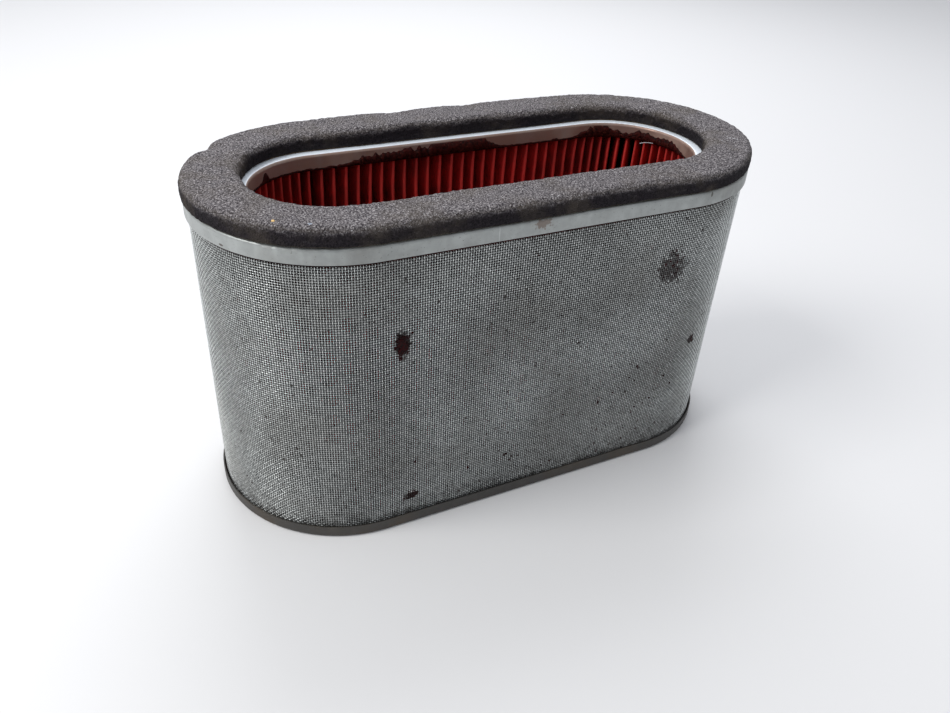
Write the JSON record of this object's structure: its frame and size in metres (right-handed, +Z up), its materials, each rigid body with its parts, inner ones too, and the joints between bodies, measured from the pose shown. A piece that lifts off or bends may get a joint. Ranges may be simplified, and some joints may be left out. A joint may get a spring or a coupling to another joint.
{
  "type": "racetrack air filter element",
  "caption": "Racetrack-shaped panel air filter: pleated paper in a wire screen, steel end caps, foam gasket round the outlet.",
  "frame": {"origin": "centre of the bottom cap's underside, under the centre of the element", "axes": "+Z up through the outlet opening, +X along the racetrack's length, -Y the front long side, +Y the side with the screen's lap seam"},
  "size_m": [0.2364, 0.1084, 0.1355],
  "materials": {
    "cap_steel": "zinc plated pressed sheet, dull, with dirt and a rust spot",
    "core_steel": "zinc plated perforated sheet",
    "wire_screen": "plain-weave galvanised wire cloth",
    "oiled_paper": "deep red oiled pleated paper",
    "sealant": "dark red-brown poured sealant",
    "contact_glue": "brown dried contact glue",
    "foam": "dark grey open-cell foam, dusty"
  },
  "bodies": {
    "root": {"bottom_cap": "cap_steel", "bottom_potting": "sealant", "perforated_core": "core_steel", "outer_screen": "wire_screen", "pleated_paper": "oiled_paper", "pleat_clip": "core_steel", "top_potting": "sealant", "top_cap": "cap_steel", "seal_adhesive": "contact_glue", "foam_seal": "foam"}
  },
  "joints": []
}
